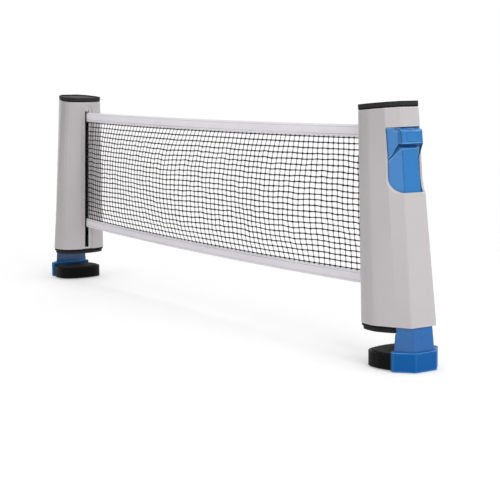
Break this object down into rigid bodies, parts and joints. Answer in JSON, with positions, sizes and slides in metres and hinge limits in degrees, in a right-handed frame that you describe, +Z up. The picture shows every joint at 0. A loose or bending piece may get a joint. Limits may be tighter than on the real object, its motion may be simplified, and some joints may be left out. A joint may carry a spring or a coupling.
{
  "type": "table tennis net and post set",
  "caption": "Retractable table tennis net between tapered clamp posts with black lids, blue thumb sliders and padded lower jaws.",
  "frame": {"origin": "on the plane of the lower jaws' undersides, midway between the posts, in the plane of the net", "axes": "+X along the net from the far post to the near post, which holds the roller; +Z up"},
  "size_m": [0.7012, 0.0606, 0.227],
  "materials": {
    "housing": "satin silver-grey moulding",
    "cap": "black moulding, fine texture",
    "base_plate": "black moulding",
    "pad_rubber": "soft black pad",
    "screw_steel": "zinc-plated",
    "slider": "semi-gloss blue moulding",
    "jaw": "semi-gloss blue moulding",
    "shoe": "black moulding",
    "chassis": "black moulding",
    "band": "woven white tape",
    "net": "knotted black thread",
    "bush": "natural nylon",
    "roller": "plain tube",
    "spring_steel": "spring wire",
    "pin_steel": "turned rod"
  },
  "bodies": {
    "near_post": {"near_base_pad": "pad_rubber", "near_base_plate": "base_plate", "near_base_screws": "screw_steel", "near_chassis": "chassis", "near_clamp_spring": "spring_steel", "near_housing": "housing", "near_spring_guide": "pin_steel", "near_top_cap": "cap", "roller_axle": "pin_steel", "net_mesh": "net", "net_top_band": "band", "net_bottom_band": "band"},
    "near_clamp": {"near_clamp_slider": "slider", "near_clamp_jaw": "jaw", "near_jaw_foot": "shoe", "near_jaw_pad": "pad_rubber", "near_jaw_screws": "screw_steel"},
    "far_post": {"far_base_pad": "pad_rubber", "far_base_plate": "base_plate", "far_base_screws": "screw_steel", "far_chassis": "chassis", "far_clamp_spring": "spring_steel", "far_housing": "housing", "far_spring_guide": "pin_steel", "far_top_cap": "cap", "net_anchor": "chassis"},
    "far_clamp": {"far_clamp_slider": "slider", "far_clamp_jaw": "jaw", "far_jaw_foot": "shoe", "far_jaw_pad": "pad_rubber", "far_jaw_screws": "screw_steel"},
    "roller": {"net_roller": "roller", "roller_bushes": "bush", "return_spring": "spring_steel", "net_roll": "net"}
  },
  "joints": [
    {"name": "near_clamp_slide", "type": "slide", "parent": "near_post", "child": "near_clamp", "axis": [0.1156, 0, -0.9933], "range_m": [0, 0.016], "stiffness_N_per_m": 1200, "springref_m": -0.02, "deforming": ["near_clamp_spring"]},
    {"name": "far_clamp_slide", "type": "slide", "parent": "far_post", "child": "far_clamp", "axis": [-0.1156, 0, -0.9933], "range_m": [0, 0.016], "stiffness_N_per_m": 1200, "springref_m": -0.02, "deforming": ["far_clamp_spring"]},
    {"name": "net_pull", "type": "slide", "parent": "near_post", "child": "far_post", "axis": [-1, 0, 0], "range_m": [-0.545, 1.18], "deforming": ["net_mesh", "net_top_band", "net_bottom_band"]},
    {"name": "roller_spin", "type": "hinge", "parent": "near_post", "child": "roller", "pos_m": [0.305, 0, 0.0376], "axis": [-0.057, 0, 0.9984], "range_deg": [-4700, 2170]}
  ],
  "couplings": [
    {"joint": "roller_spin", "follows": "net_pull", "rad_per_m": -68.966}
  ]
}
